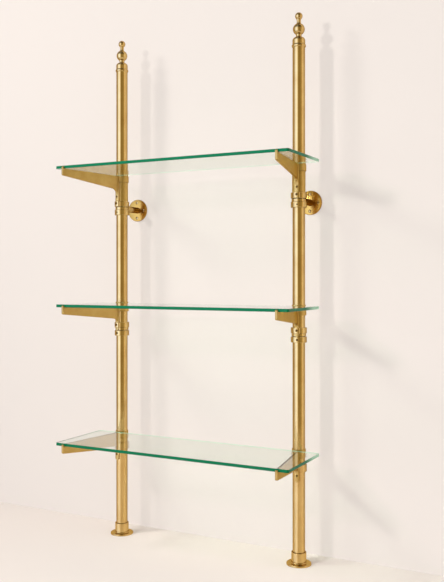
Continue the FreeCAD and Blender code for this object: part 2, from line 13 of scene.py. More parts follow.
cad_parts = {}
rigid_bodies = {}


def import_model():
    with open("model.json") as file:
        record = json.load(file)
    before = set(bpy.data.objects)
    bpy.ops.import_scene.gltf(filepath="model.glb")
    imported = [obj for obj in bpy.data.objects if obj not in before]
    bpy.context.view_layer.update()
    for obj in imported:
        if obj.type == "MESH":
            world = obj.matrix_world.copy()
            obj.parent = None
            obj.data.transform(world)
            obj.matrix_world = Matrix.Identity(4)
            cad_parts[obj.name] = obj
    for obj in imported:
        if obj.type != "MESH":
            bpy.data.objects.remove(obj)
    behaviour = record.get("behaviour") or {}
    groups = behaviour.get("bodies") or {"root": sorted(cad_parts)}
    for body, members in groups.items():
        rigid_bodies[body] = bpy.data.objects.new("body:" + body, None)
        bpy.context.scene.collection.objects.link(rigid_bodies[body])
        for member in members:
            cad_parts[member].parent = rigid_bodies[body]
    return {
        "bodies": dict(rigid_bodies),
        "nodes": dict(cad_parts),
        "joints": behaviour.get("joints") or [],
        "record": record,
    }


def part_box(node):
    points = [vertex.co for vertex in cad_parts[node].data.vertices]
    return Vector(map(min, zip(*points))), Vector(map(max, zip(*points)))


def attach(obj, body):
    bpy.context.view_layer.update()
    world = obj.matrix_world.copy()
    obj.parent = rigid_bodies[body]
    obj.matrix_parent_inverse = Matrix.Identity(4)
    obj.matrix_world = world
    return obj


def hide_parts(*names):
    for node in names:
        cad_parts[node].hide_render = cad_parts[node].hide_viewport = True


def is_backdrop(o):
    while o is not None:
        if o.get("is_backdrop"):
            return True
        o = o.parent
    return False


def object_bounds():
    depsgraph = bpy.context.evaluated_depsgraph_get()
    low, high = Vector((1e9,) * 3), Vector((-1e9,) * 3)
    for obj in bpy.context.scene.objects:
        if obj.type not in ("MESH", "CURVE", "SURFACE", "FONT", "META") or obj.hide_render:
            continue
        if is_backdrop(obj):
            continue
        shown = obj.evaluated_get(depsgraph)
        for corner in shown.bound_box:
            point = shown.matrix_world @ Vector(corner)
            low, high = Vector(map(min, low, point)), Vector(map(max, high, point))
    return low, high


LOG = logging.getLogger("etagere")
FRAME_BODY = "frame"
MM = 0.001
# Bearings of the front and the back, in degrees from +X.
FRONT = -90.0
BACK = 90.0
# Heights in metres that agree to this many digits are one height.
HEIGHT_DIGITS = 5

Colour = tuple[float, float, float, float]
Point = tuple[float, float, float]
Outline = list[tuple[float, float]]
Tree = bpy.types.NodeTree
Socket = bpy.types.NodeSocket
Material = bpy.types.Material
Mesh = bpy.types.Mesh
Form = bmesh.types.BMesh


class Side(Enum):
    """The two posts."""

    LEFT = "left"
    RIGHT = "right"

    @property
    def sign(self) -> int:
        """-1 on the left, 1 on the right."""
        return -1 if self is Side.LEFT else 1


class Level(Enum):
    """The three shelves, from the floor up."""

    BOTTOM = "bottom"
    MIDDLE = "middle"
    TOP = "top"


class Drive(Enum):
    """How a screw is driven."""

    SLOT = "slot"
    HEX = "hex"


# ---------------------------------------------------------------- colour and nodes
def linear(code: str) -> Colour:
    """Turn an sRGB hex code to a linear colour.

    Args:
        code: six hex digits, such as "d9b066".

    Returns:
        Linear red, green and blue, and an alpha of 1.
    """
    channels = [int(code[i : i + 2], 16) / 255 for i in (0, 2, 4)]
    red, green, blue = (
        c / 12.92 if c <= 0.04045 else ((c + 0.055) / 1.055) ** 2.4 for c in channels
    )
    return (red, green, blue, 1.0)


def add_node(
    tree: Tree, kind: str, settings: dict[str, object] | None = None, **inputs: object
) -> bpy.types.Node:
    """Add a node, set its properties, and fill or link its inputs.

    Args:
        tree: the node tree.
        kind: the node's type name.
        settings: properties of the node.
        inputs: values by input name, with spaces as underscores. An output socket is linked, and
            a name such as in_0 means the input of that number.

    Returns:
        The new node.
    """
    node = tree.nodes.new(kind)
    for name, value in (settings or {}).items():
        setattr(node, name, value)
    for name, value in inputs.items():
        key = int(name[3:]) if name.startswith("in_") else name.replace("_", " ")
        socket = node.inputs[key]
        if isinstance(value, Socket):
            tree.links.new(value, socket)
        else:
            socket.default_value = value
    return node


def new_material(name: str) -> tuple[Material, Tree]:
    """Make a material with an empty node tree.

    Args:
        name: the finish's name.

    Returns:
        The material and its tree.
    """
    material = bpy.data.materials.new(name)
    material.use_nodes = True
    material.node_tree.nodes.clear()
    return material, material.node_tree


# ---------------------------------------------------------------- finishes
@dataclass(frozen=True)
class Brass:
    """Yellow brass under clear lacquer.

    Polishing leaves lines whose direction depends on how the piece was made. Real ones lie about
    0.05 mm apart, too fine to show, so they are drawn coarser. The tone drifts a little where the
    metal has been handled. Seams and holes are darkened with painted shade, which also stands for
    the brown tarnish there.
    """

    name: str
    roughness: float
    # The clean tone and the handled one, and the clouds between them: their size, their detail,
    # how ragged they are, and the part of the pattern over which one tone turns to the other.
    bright: str
    deep: str
    tone_mm: float = 60.0
    tone_detail: float = 4.0
    tone_fray: float = 0.6
    tone_range: tuple[float, float] = (0.35, 0.7)
    # Polishing lines: spacing, pattern scale along X, Y and Z (small is long), depth, and their
    # share of the roughness from the smoothest to the roughest.
    line_mm: float = 0.8
    line_stretch: Point = (1.0, 1.0, 1.0)
    line_depth_mm: float = 0.004
    line_strength: float = 0.6
    line_range: tuple[float, float] = (0.3, 0.7)
    line_sheen: tuple[float, float] = (0.85, 1.2)
    # Unevenness that a casting keeps under its polish.
    grain_mm: float = 0.0
    grain_depth_mm: float = 0.0
    grain_strength: float = 0.7
    # Detail of the lines and of the grain.
    fine_detail: float = 3.0
    # Tint of the metal where the eye meets it at a low angle.
    rim: str = "a88a54"
    coat: float = 0.15
    coat_roughness: float = 0.10
    # Axis that turning marks run round, and how far they spread the gloss across themselves.
    spin_axis: str = ""
    anisotropy: float = 0.0
    # Painted shade that also stands for tarnish: its tone, how far it reaches from a corner, and
    # the range of openness over which it fades out.
    shade_and_tarnish: str = "1c1206"
    shade_and_tarnish_mm: float = 3.5
    shade_and_tarnish_open: tuple[float, float] = (0.30, 0.78)
    shade_and_tarnish_samples: int = 6

    def metal_tone(self, tree: Tree, place: Socket) -> Socket:
        """Two close tones in soft clouds, with painted shade, also standing for tarnish, darkening
        seams and holes.

        Args:
            tree: the material's tree.
            place: coordinates on the object.

        Returns:
            The metal's colour.
        """
        clouds = add_node(
            tree,
            "ShaderNodeTexNoise",
            Vector=place,
            Scale=1 / (self.tone_mm * MM),
            Detail=self.tone_detail,
            Roughness=self.tone_fray,
        )
        handled = add_node(
            tree,
            "ShaderNodeMapRange",
            Value=clouds.outputs["Fac"],
            From_Min=self.tone_range[0],
            From_Max=self.tone_range[1],
        )
        metal = add_node(
            tree,
            "ShaderNodeMix",
            {"data_type": "RGBA"},
            in_0=handled.outputs["Result"],
            in_6=linear(self.bright),
            in_7=linear(self.deep),
        )
        # Painted shade: the colour darkens where nearby parts close the surface in, in seams, holes
        # and necks. It also stands for tarnish there.
        corner = add_node(
            tree,
            "ShaderNodeAmbientOcclusion",
            {"samples": self.shade_and_tarnish_samples, "only_local": True},
            Distance=self.shade_and_tarnish_mm * MM,
        )
        unshaded = add_node(
            tree,
            "ShaderNodeMapRange",
            Value=corner.outputs["AO"],
            From_Min=self.shade_and_tarnish_open[0],
            From_Max=self.shade_and_tarnish_open[1],
        )
        return add_node(
            tree,
            "ShaderNodeMix",
            {"data_type": "RGBA"},
            in_0=unshaded.outputs["Result"],
            in_6=linear(self.shade_and_tarnish),
            in_7=metal.outputs["Result"],
        ).outputs["Result"]

    def polish(self, tree: Tree, place: Socket) -> tuple[Socket, Socket]:
        """Polishing lines, over a casting's grain where there is one.

        Args:
            tree: the material's tree.
            place: coordinates on the object.

        Returns:
            The roughness and the surface normal.
        """
        stretched = add_node(tree, "ShaderNodeMapping", Vector=place, Scale=self.line_stretch)
        lines = add_node(
            tree,
            "ShaderNodeTexNoise",
            Vector=stretched.outputs["Vector"],
            Scale=1 / (self.line_mm * MM),
            Detail=self.fine_detail,
        )
        rough = add_node(
            tree,
            "ShaderNodeMapRange",
            Value=lines.outputs["Fac"],
            From_Min=self.line_range[0],
            From_Max=self.line_range[1],
            To_Min=self.roughness * self.line_sheen[0],
            To_Max=self.roughness * self.line_sheen[1],
        )
        bump = add_node(
            tree,
            "ShaderNodeBump",
            Strength=self.line_strength,
            Distance=self.line_depth_mm * MM,
            Height=lines.outputs["Fac"],
        )
        if self.grain_mm:
            grain = add_node(
                tree,
                "ShaderNodeTexNoise",
                Vector=place,
                Scale=1 / (self.grain_mm * MM),
                Detail=self.fine_detail,
            )
            bump = add_node(
                tree,
                "ShaderNodeBump",
                Strength=self.grain_strength,
                Distance=self.grain_depth_mm * MM,
                Height=grain.outputs["Fac"],
                Normal=bump.outputs["Normal"],
            )
        return rough.outputs["Result"], bump.outputs["Normal"]

    def make(self) -> Material:
        """Build the material.

        Returns:
            The material.
        """
        material, tree = new_material(self.name)
        place = add_node(tree, "ShaderNodeTexCoord").outputs["Object"]
        colour = self.metal_tone(tree, place)
        rough, normal = self.polish(tree, place)
        shader = add_node(
            tree,
            "ShaderNodeBsdfPrincipled",
            Base_Color=colour,
            Metallic=1.0,
            Roughness=rough,
            Specular_Tint=linear(self.rim),
            Anisotropic=self.anisotropy,
            Coat_Weight=self.coat,
            Coat_Roughness=self.coat_roughness,
            Normal=normal,
        )
        if self.spin_axis:
            round_axis = {"direction_type": "RADIAL", "axis": self.spin_axis}
            marks = add_node(tree, "ShaderNodeTangent", round_axis)
            tree.links.new(marks.outputs["Tangent"], shader.inputs["Tangent"])
        add_node(tree, "ShaderNodeOutputMaterial", Surface=shader.outputs["BSDF"])
        return material


@dataclass(frozen=True)
class FloatGlass:
    """Clear float glass with ground and polished edges.

    The faces are nearly colourless. Light that runs along the plate leaves through its edges, so
    they show the iron's green at full depth.
    """

    name: str = "float glass, ground edges"
    face: str = "eef5ee"
    # Green of the front edge, and of the ends towards the back, with the reach along Y between.
    edge: str = "007048"
    end: str = "a9d8bd"
    fade_mm: tuple[float, float] = (-60.0, 30.0)
    edge_roughness: float = 0.22
    edge_gloss: float = 0.12
    # A surface that faces up or down less than this is an edge.
    face_upright: float = 0.9
    ior: float = 1.52
    # Tint of the light that the plate lets through to what it shades.
    shade: str = "e2ece4"

    def edge_green(self, tree: Tree) -> Socket:
        """Green that pales along the ends, towards the back.

        Args:
            tree: the material's tree.

        Returns:
            The edges' colour.
        """
        place = add_node(tree, "ShaderNodeTexCoord").outputs["Object"]
        depth = add_node(tree, "ShaderNodeSeparateXYZ", Vector=place).outputs["Y"]
        paler = add_node(
            tree,
            "ShaderNodeMapRange",
            {"interpolation_type": "SMOOTHSTEP"},
            Value=depth,
            From_Min=self.fade_mm[0] * MM,
            From_Max=self.fade_mm[1] * MM,
        )
        return add_node(
            tree,
            "ShaderNodeMix",
            {"data_type": "RGBA"},
            in_0=paler.outputs["Result"],
            in_6=linear(self.edge),
            in_7=linear(self.end),
        ).outputs["Result"]

    def make(self) -> Material:
        """Build the material.

        Returns:
            The material.
        """
        material, tree = new_material(self.name)
        normal = add_node(tree, "ShaderNodeNewGeometry").outputs["Normal"]
        upright = add_node(tree, "ShaderNodeSeparateXYZ", Vector=normal).outputs["Z"]
        steep = add_node(tree, "ShaderNodeMath", {"operation": "ABSOLUTE"}, in_0=upright)
        on_edge = add_node(
            tree,
            "ShaderNodeMath",
            {"operation": "LESS_THAN"},
            in_0=steep.outputs["Value"],
            in_1=self.face_upright,
        )
        faces = add_node(
            tree,
            "ShaderNodeBsdfPrincipled",
            Base_Color=linear(self.face),
            Roughness=0.0,
            IOR=self.ior,
            Transmission_Weight=1.0,
        )
        edges = add_node(
            tree,
            "ShaderNodeBsdfPrincipled",
            Base_Color=self.edge_green(tree),
            Roughness=self.edge_roughness,
            IOR=self.ior,
            Specular_IOR_Level=self.edge_gloss,
        )
        plate = add_node(
            tree,
            "ShaderNodeMixShader",
            in_0=on_edge.outputs["Value"],
            in_1=faces.outputs["BSDF"],
            in_2=edges.outputs["BSDF"],
        )
        path = add_node(tree, "ShaderNodeLightPath")
        through = add_node(tree, "ShaderNodeBsdfTransparent", Color=linear(self.shade))
        surface = add_node(
            tree,
            "ShaderNodeMixShader",
            in_0=path.outputs["Is Shadow Ray"],
            in_1=plate.outputs["Shader"],
            in_2=through.outputs["BSDF"],
        )
        add_node(tree, "ShaderNodeOutputMaterial", Surface=surface.outputs["Shader"])
        return material


@dataclass(frozen=True)
class MattPaint:
    """Flat emulsion paint on a wall or floor, rolled on, with no visible grain.

    Part of what the eye sees is a steady tone, so wall and floor meet without a line.
    """

    name: str
    colour: str
    steady: str
    steady_share: float = 0.56
    roughness: float = 0.6
    one_sided: bool = False
    # Share of a mirror's view that a floor leaves to the room, and the extra glow of its steady
    # tone in the rest of that view.
    gloss_pass: float = 0.0
    gloss_glow: float = 0.0
    # Distances from the middle, in metres, over which a floor fades away into the room.
    fade: tuple[float, float] | None = None

    def steadied(self, tree: Tree, paint: Socket, path: bpy.types.Node) -> Socket:
        """Mix the steady tone into the paint, for the eye, for gloss and for glass.

        Args:
            tree: the material's tree.
            paint: the paint that the lamps light.
            path: the light path node.

        Returns:
            The shader.
        """
        glow = add_node(
            tree,
            "ShaderNodeMath",
            {"operation": "MULTIPLY_ADD"},
            in_0=path.outputs["Is Glossy Ray"],
            in_1=self.gloss_glow,
            in_2=1.0,
        )
        tone = add_node(
            tree,
            "ShaderNodeEmission",
            Color=linear(self.steady),
            Strength=glow.outputs["Value"],
        )
        seen = path.outputs["Is Camera Ray"]
        for ray in ("Is Transmission Ray", "Is Glossy Ray"):
            seen = add_node(
                tree,
                "ShaderNodeMath",
                {"operation": "MAXIMUM"},
                in_0=seen,
                in_1=path.outputs[ray],
            ).outputs["Value"]
        share = add_node(
            tree,
            "ShaderNodeMath",
            {"operation": "MULTIPLY"},
            in_0=seen,
            in_1=self.steady_share,
        )
        return add_node(
            tree,
            "ShaderNodeMixShader",
            in_0=share.outputs["Value"],
            in_1=paint,
            in_2=tone.outputs["Emission"],
        ).outputs["Shader"]

    def faded(self, tree: Tree, path: bpy.types.Node, fade: tuple[float, float]) -> Socket:
        """How far a floor gives way to the room, far from the middle and in a mirror's view.

        Args:
            tree: the material's tree.
            path: the light path node.
            fade: where the floor starts to fade and where it is gone, in metres.

        Returns:
            The share that gives way.
        """
        place = add_node(tree, "ShaderNodeTexCoord").outputs["Object"]
        away = add_node(tree, "ShaderNodeVectorMath", {"operation": "LENGTH"}, in_0=place)
        far = add_node(
            tree,
            "ShaderNodeMapRange",
            {"interpolation_type": "SMOOTHSTEP"},
            Value=away.outputs["Value"],
            From_Min=fade[0],
            From_Max=fade[1],
        )
        passed = add_node(
            tree,
            "ShaderNodeMath",
            {"operation": "MULTIPLY"},
            in_0=path.outputs["Is Glossy Ray"],
            in_1=self.gloss_pass,
        )
        return add_node(
            tree,
            "ShaderNodeMath",
            {"operation": "MAXIMUM"},
            in_0=passed.outputs["Value"],
            in_1=far.outputs["Result"],
        ).outputs["Value"]

    def make(self) -> Material:
        """Build the material.

        Returns:
            The material.
        """
        material, tree = new_material(self.name)
        paint = add_node(
            tree,
            "ShaderNodeBsdfDiffuse",
            Color=linear(self.colour),
            Roughness=self.roughness,
        )
        path = add_node(tree, "ShaderNodeLightPath")
        surface = self.steadied(tree, paint.outputs["BSDF"], path)
        openings = []
        if self.one_sided:
            openings.append(add_node(tree, "ShaderNodeNewGeometry").outputs["Backfacing"])
        if self.fade:
            openings.append(self.faded(tree, path, self.fade))
        for opening in openings:
            surface = add_node(
                tree,
                "ShaderNodeMixShader",
                in_0=opening,
                in_1=surface,
                in_2=add_node(tree, "ShaderNodeBsdfTransparent").outputs["BSDF"],
            ).outputs["Shader"]
        add_node(tree, "ShaderNodeOutputMaterial", Surface=surface)
        return material


# Drawn tube, buffed lengthwise: its lines run along the post.
TUBE_BRASS = Brass(
    "drawn brass tube, buffed and lacquered",
    bright="d0b072",
    deep="c5a162",
    roughness=0.13,
    line_mm=0.6,
    line_stretch=(1, 1, 0.02),
)
# Fittings turned on the lathe and polished while they spin: the lines run round them. Painted shade
# reaching far from each corner darkens their seams and necks, and also stands for polish that has
# gone brown there.
TURNED_BRASS = Brass(
    "turned brass, polished and lacquered",
    bright="d0b072",
    deep="c5a162",
    roughness=0.15,
    line_stretch=(0.2, 0.2, 1),
    shade_and_tarnish_mm=7.0,
)
# Floor flanges, turned and buffed flat on top: a paler gloss where the eye meets it at a low angle.
FLANGE_BRASS = Brass(
    "turned flange brass, buffed and lacquered",
    bright="d0b072",
    deep="c5a162",
    roughness=0.15,
    line_stretch=(0.2, 0.2, 1),
    rim="dcc690",
    shade_and_tarnish_mm=4.0,
)
# Wall flanges, faced on the lathe and left as turned: the fine rings fan the light out in wedges.
FACED_BRASS = Brass(
    "faced brass, lacquered",
    bright="c29848",
    deep="b5893a",
    roughness=0.2,
    line_depth_mm=0.002,
    spin_axis="Y",
    anisotropy=0.6,
)
# Sand-cast brackets, linished and buffed: softer gloss, with a trace of the casting's grain.
CAST_BRASS = Brass(
    "cast brass, linished and lacquered",
    bright="c6a45e",
    deep="b8934e",
    roughness=0.38,
    line_mm=1.2,
    line_stretch=(1, 0.15, 1),
    line_depth_mm=0.010,
    grain_mm=2.5,
    grain_depth_mm=0.03,
    rim="e4d098",
)
# Screws without lacquer, as turned: their dark brown is partly tarnish and partly painted shade for
# the holes they sit in, and painted shade makes them darker still in their recesses.
SCREW_BRASS = Brass(
    "screw brass, aged and shade-dark",
    bright="8a6630",
    deep="523a18",
    roughness=0.34,
    line_mm=0.5,
    line_depth_mm=0.006,
    coat=0.0,
)
CLEAR_GLASS = FloatGlass()


# ---------------------------------------------------------------- mesh helpers
def to_object(name: str, mesh: Mesh, material: Material) -> bpy.types.Object:
    """Link a mesh to the scene as an object with one material.

    Args:
        name: the object's name.
        mesh: its mesh.
        material: its finish.

    Returns:
        The object.
    """
    thing = bpy.data.objects.new(name, mesh)
    bpy.context.scene.collection.objects.link(thing)
    mesh.materials.clear()
    mesh.materials.append(material)
    return thing


def lathe(outline: Outline, steps: int) -> Form:
    """Turn an outline of radii and heights about Z into a closed mesh.

    Args:
        outline: points from the axis at the foot to the axis at the head, in metres.
        steps: how many segments go round.

    Returns:
        The mesh being built.
    """
    form = bmesh.new()
    angles = [2 * math.pi * step / steps for step in range(steps)]
    rings: list[list[bmesh.types.BMVert]] = []
    for radius, height in outline:
        if radius == 0:
            rings.append([form.verts.new((0, 0, height))])
            continue
        ring = [(radius * math.cos(a), radius * math.sin(a), height) for a in angles]
        rings.append([form.verts.new(corner) for corner in ring])
    for low, high in zip(rings, rings[1:]):
        for step in range(steps):
            after = (step + 1) % steps
            corners = [
                low[step % len(low)],
                low[after % len(low)],
                high[after % len(high)],
                high[step % len(high)],
            ]
            unique = list(dict.fromkeys(corners))
            if len(unique) > 2:
                form.faces.new(unique)
    bmesh.ops.recalc_face_normals(form, faces=form.faces)
    return form


def prism(sides: Outline, low: float, high: float) -> Form:
    """Closed prism of an outline in the XY plane.

    Args:
        sides: corners of the outline, in metres.
        low: height of its foot.
        high: height of its top.

    Returns:
        The mesh being built.
    """
    form = bmesh.new()
    floor = [form.verts.new((x, y, low)) for x, y in sides]
    roof = [form.verts.new((x, y, high)) for x, y in sides]
    form.faces.new(list(reversed(floor)))
    form.faces.new(roof)
    for i in range(len(sides)):
        j = (i + 1) % len(sides)
        form.faces.new([floor[i], floor[j], roof[j], roof[i]])
    bmesh.ops.recalc_face_normals(form, faces=form.faces)
    return form


def carved(body: Form, cutter: Form) -> Mesh:
    """Cut one closed shape out of another.

    Args:
        body: the shape to cut.
        cutter: the shape to take away.

    Returns:
        The mesh that is left.
    """
    blanks = []
    for form in (body, cutter):
        mesh = bpy.data.meshes.new("blank")
        form.to_mesh(mesh)
        form.free()
        blank = bpy.data.objects.new("blank", mesh)
        bpy.context.scene.collection.objects.link(blank)
        blanks.append(blank)
    work, tool = blanks
    cut = work.modifiers.new("cut", "BOOLEAN")
    cut.operation, cut.solver, cut.object = "DIFFERENCE", "EXACT", tool
    graph = bpy.context.evaluated_depsgraph_get()
    result = bpy.data.meshes.new_from_object(work.evaluated_get(graph))
    for blank in blanks:
        bpy.data.objects.remove(blank)
    return result


def smooth(mesh: Mesh, degrees: float = 35.0) -> None:
    """Shade smooth, with edges sharper than an angle kept sharp."""
    mesh.shade_smooth()
    mesh.set_sharp_from_angle(angle=math.radians(degrees))


def grouped(
    name: str, base: Mesh, places: list[Matrix], material: Material
) -> bpy.types.Object:
    """Join copies of one mesh at several places into one object.

    Args:
        name: the object's name.
        base: the mesh to repeat.
        places: where each copy goes.
        material: the finish.

    Returns:
        The object.
    """
    form = bmesh.new()
    for place in places:
        copy = base.copy()
        copy.transform(place)
        form.from_mesh(copy)
        bpy.data.meshes.remove(copy)
    mesh = bpy.data.meshes.new(name)
    form.to_mesh(mesh)
    form.free()
    smooth(mesh)
    return to_object(name, mesh, material)


def facing(point: Vector, direction: Vector, spin: float = 0.0) -> Matrix:
    """Matrix that puts a mesh made about Z at a point, its head facing a direction."""
    turn = direction.to_track_quat("Z", "Y").to_matrix().to_4x4()
    return Matrix.Translation(point) @ turn @ Matrix.Rotation(spin, 4, "Z")


def radial(degrees: float) -> Vector:
    """Level unit vector at an angle from +X."""
    angle = math.radians(degrees)
    return Vector((math.cos(angle), math.sin(angle), 0.0))


def aimed_at_axis(axis: Vector, way: Vector, reach: float, heights: list[float]) -> list[Matrix]:
    """Places of level screws that point at a post's axis, with their heads a reach off it."""
    head = axis + way * reach
    return [facing(Vector((head.x, head.y, height)), way) for height in heights]


# ---------------------------------------------------------------- fasteners
@dataclass
class ScrewHead:
    """A screw with a driven head, made about Z with the rim of its head at height 0.

    Without a head wider than its shank it is a grub screw, with a small chamfer round its end.
    """

    head_radius: float
    shank_radius: float
    length: float
    drive: Drive
    # Height of the crown over the rim, and how far up its round the outline has points.
    dome: float = 0.0
    crown_degrees: tuple[float, ...] = (20, 40, 60, 75)
    chamfer: float = 0.2 * MM
    # Hex socket: corner radius and depth as shares of the head's radius.
    socket_share: float = 0.48
    socket_depth_share: float = 0.55
    # Slot: half width, half length and depth as shares of the head's radius, and extra half width.
    slot_share: float = 0.11
    slot_extra: float = 0.15 * MM
    slot_length_share: float = 1.2
    slot_depth_share: float = 0.3
    # How far a cutter stands out over the crown.
    cutter_rise: float = 1.0 * MM
    segments: int = 40

    def outline(self) -> Outline:
        """Outline of the screw.

        Returns:
            Radii and heights from the shank's tip to the crown.
        """
        cone = self.head_radius - self.shank_radius
        points = [(0.0, -self.length), (self.shank_radius, -self.length)]
        if cone > 0:
            points += [(self.shank_radius, -cone), (self.head_radius, 0.0)]
        else:
            points += [(self.shank_radius, -self.chamfer), (self.shank_radius - self.chamfer, 0.0)]
        if self.dome:
            angles = [math.radians(degrees) for degrees in self.crown_degrees]
            points += [(self.head_radius * math.cos(a), self.dome * math.sin(a)) for a in angles]
        points.append((0.0, self.dome))
        return points

    def recess(self) -> Form:
        """Cutter for the driver's recess.

        Returns:
            The mesh being built.
        """
        reach = max(self.head_radius, self.shank_radius)
        top = self.dome + self.cutter_rise
        if self.drive is Drive.HEX:
            corner = self.socket_share * reach
            angles = [math.radians(degrees) for degrees in range(0, 360, 60)]
            sides = [(corner * math.cos(a), corner * math.sin(a)) for a in angles]
            return prism(sides, -self.socket_depth_share * reach, top)
        half = self.slot_share * reach + self.slot_extra
        long = self.slot_length_share * reach
        sides = [(-long, -half), (long, -half), (long, half), (-long, half)]
        return prism(sides, -self.slot_depth_share * reach, top)

    def mesh(self) -> Mesh:
        """Build the screw.

        Returns:
            Its mesh.
        """
        result = carved(lathe(self.outline(), self.segments), self.recess())
        smooth(result)
        return result


# ---------------------------------------------------------------- sub-assemblies
@dataclass
class Workshop:
    """The loaded frame and the finishes, shared by every sub-assembly."""

    frame: dict
    tube: Material = field(default_factory=TUBE_BRASS.make)
    turned: Material = field(default_factory=TURNED_BRASS.make)
    flange: Material = field(default_factory=FLANGE_BRASS.make)
    faced: Material = field(default_factory=FACED_BRASS.make)
    cast: Material = field(default_factory=CAST_BRASS.make)
    screw: Material = field(default_factory=SCREW_BRASS.make)
    glass: Material = field(default_factory=CLEAR_GLASS.make)

    def dress(self, node: str, material: Material) -> None:
        """Give a CAD node its finish.

        Args:
            node: the node's name.
            material: the finish.
        """
        thing = self.frame["nodes"][node]
        for slot in thing.material_slots:
            slot.material = material
        if not thing.material_slots:
            thing.data.materials.append(material)
        LOG.info("dressed %s in %s", node, material.name)

    def mount(self, name: str) -> dict:
        """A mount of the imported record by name."""
        return next(entry for entry in self.frame["record"]["mounts"] if entry["name"] == name)

    def post_axis(self, side: Side) -> Vector:
        """Foot of a post's axis, from the mount under its floor flange."""
        return Vector(self.mount("floor_face_" + side.value)["pos_m"])

    def fasten(self, node: str, head: ScrewHead, places: list[Matrix]) -> None:
        """Put driven screws in the place of a node's plain ones.

        Args:
            node: the CAD node that they stand for.
            head: the screw.
            places: where each copy goes.
        """
        screws = grouped("driven_" + node, head.mesh(), places, self.screw)
        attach(screws, FRAME_BODY)
        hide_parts(node)
        LOG.info("built %s", screws.name)


@dataclass
class Shelf:
    """One loose glass shelf."""

    level: Level

    def build(self, shop: Workshop) -> None:
        """Dress the plate."""
        shop.dress("glass_shelf_" + self.level.value, shop.glass)


@dataclass
class Bracket:
    """A cast bracket with the screws through its tail."""

    level: Level
    side: Side
    splay_degrees: float = 9.0
    head_radius: float = 4.0 * MM
    shank_radius: float = 2.0 * MM
    head_reach: float = 26.55 * MM
    screw_length: float = 11.55 * MM

    def build(self, shop: Workshop) -> None:
        """Dress the casting and make its screws.

        Args:
            shop: the frame and the finishes.
        """
        name = f"{self.level.value}_{self.side.value}"
        shop.dress("bracket_" + name, shop.cast)
        node = "bracket_screws_" + name
        # The node's box ends at its lowest and highest heads, which may be one and the same.
        low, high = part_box(node)
        ends = (low[2] + self.head_radius, high[2] - self.head_radius)
        heights = sorted({round(height, HEIGHT_DIGITS) for height in ends})
        head = ScrewHead(self.head_radius, self.shank_radius, self.screw_length, Drive.HEX)
        way = radial(FRONT + self.side.sign * self.splay_degrees)
        places = aimed_at_axis(shop.post_axis(self.side), way, self.head_reach, heights)
        shop.fasten(node, head, places)


@dataclass
class Post:
    """One post: tubes, joiner, collar, wall tee, floor flange, finial and their grub screws."""

    side: Side
    tube_nodes: tuple[str, ...] = ("lower_tube", "upper_tube")
    flange_nodes: tuple[str, ...] = ("floor_flange",)
    turned_nodes: tuple[str, ...] = ("joiner", "stop_collar", "finial", "wall_tee")
    tube_radius: float = 20.0 * MM
    small_grub: float = 2.5 * MM
    large_grub: float = 4.0 * MM
    grub_socket_share: float = 0.6
    band_head: float = 23.75 * MM
    hub_head: float = 22.25 * MM

    def grubs(self) -> tuple[tuple[str, float, float, float], ...]:
        """What sets each grub screw.

        Returns:
            For each, its node, radius, head's distance from the post's axis, and bearing.
        """
        front = FRONT + self.side.sign * Bracket.splay_degrees
        behind = front + 180
        return (
            ("floor_flange_grub", self.small_grub, self.hub_head, BACK),
            ("joiner_grub", self.large_grub, self.band_head, front),
            ("stop_collar_grub", self.small_grub, self.band_head, behind),
            ("wall_tee_grub", self.small_grub, self.band_head, front),
        )

    def build(self, shop: Workshop) -> None:
        """Dress every node on the post and make its grub screws.

        Args:
            shop: the frame and the finishes.
        """
        for finish, nodes in (
            (shop.tube, self.tube_nodes),
            (shop.flange, self.flange_nodes),
            (shop.turned, self.turned_nodes),
        ):
            for node in nodes:
                shop.dress(f"{node}_{self.side.value}", finish)
        axis = shop.post_axis(self.side)
        for name, radius, reach, bearing in self.grubs():
            node = f"{name}_{self.side.value}"
            low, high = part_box(node)
            grub = ScrewHead(
                radius,
                radius,
                reach - self.tube_radius,
                Drive.HEX,
                socket_share=self.grub_socket_share,
            )
            middle = (low[2] + high[2]) / 2
            shop.fasten(node, grub, aimed_at_axis(axis, radial(bearing), reach, [middle]))


@dataclass
class WallFixing:
    """Wall arm and flange, with the screws that hold the flange to the wall."""

    side: Side
    head_radius: float = 5.0 * MM
    shank_radius: float = 2.4 * MM
    screw_length: float = 4.6 * MM
    rim: float = 5.0 * MM
    head_sunk: float = 0.15 * MM
    dome: float = 1.1 * MM

    def places(self, shop: Workshop) -> list[Matrix]:
        """Where the wall screws go.

        Args:
            shop: the frame and the finishes.

        Returns:
            One matrix for each hole of the flange.
        """
        bolts = shop.mount("wall_bolts_" + self.side.value)
        centre = Vector(bolts["pos_m"])
        circle = bolts["dims"]["pcd_mm"] * MM / 2
        count = bolts["dims"]["count"]
        places = []
        for step in range(count):
            angle = math.radians(360 * step / count)
            out = Vector((math.cos(angle), 0, math.sin(angle))) * circle
            point = centre + out - Vector((0, self.rim - self.head_sunk, 0))
            # One radian more for each screw: the slots stop at odd angles, as driven ones do.
            places.append(facing(point, Vector((0, -1, 0)), angle + step))
        return places

    def build(self, shop: Workshop) -> None:
        """Dress the arm and flange and add the wall screws.

        Args:
            shop: the frame and the finishes.
        """
        shop.dress("wall_arm_" + self.side.value, shop.turned)
        shop.dress("wall_flange_" + self.side.value, shop.faced)
        head = ScrewHead(
            self.head_radius, self.shank_radius, self.screw_length, Drive.SLOT, self.dome
        )
        name = "wall_screws_" + self.side.value
        screws = grouped(name, head.mesh(), self.places(shop), shop.turned)
        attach(screws, FRAME_BODY)
        LOG.info("built %s", name)


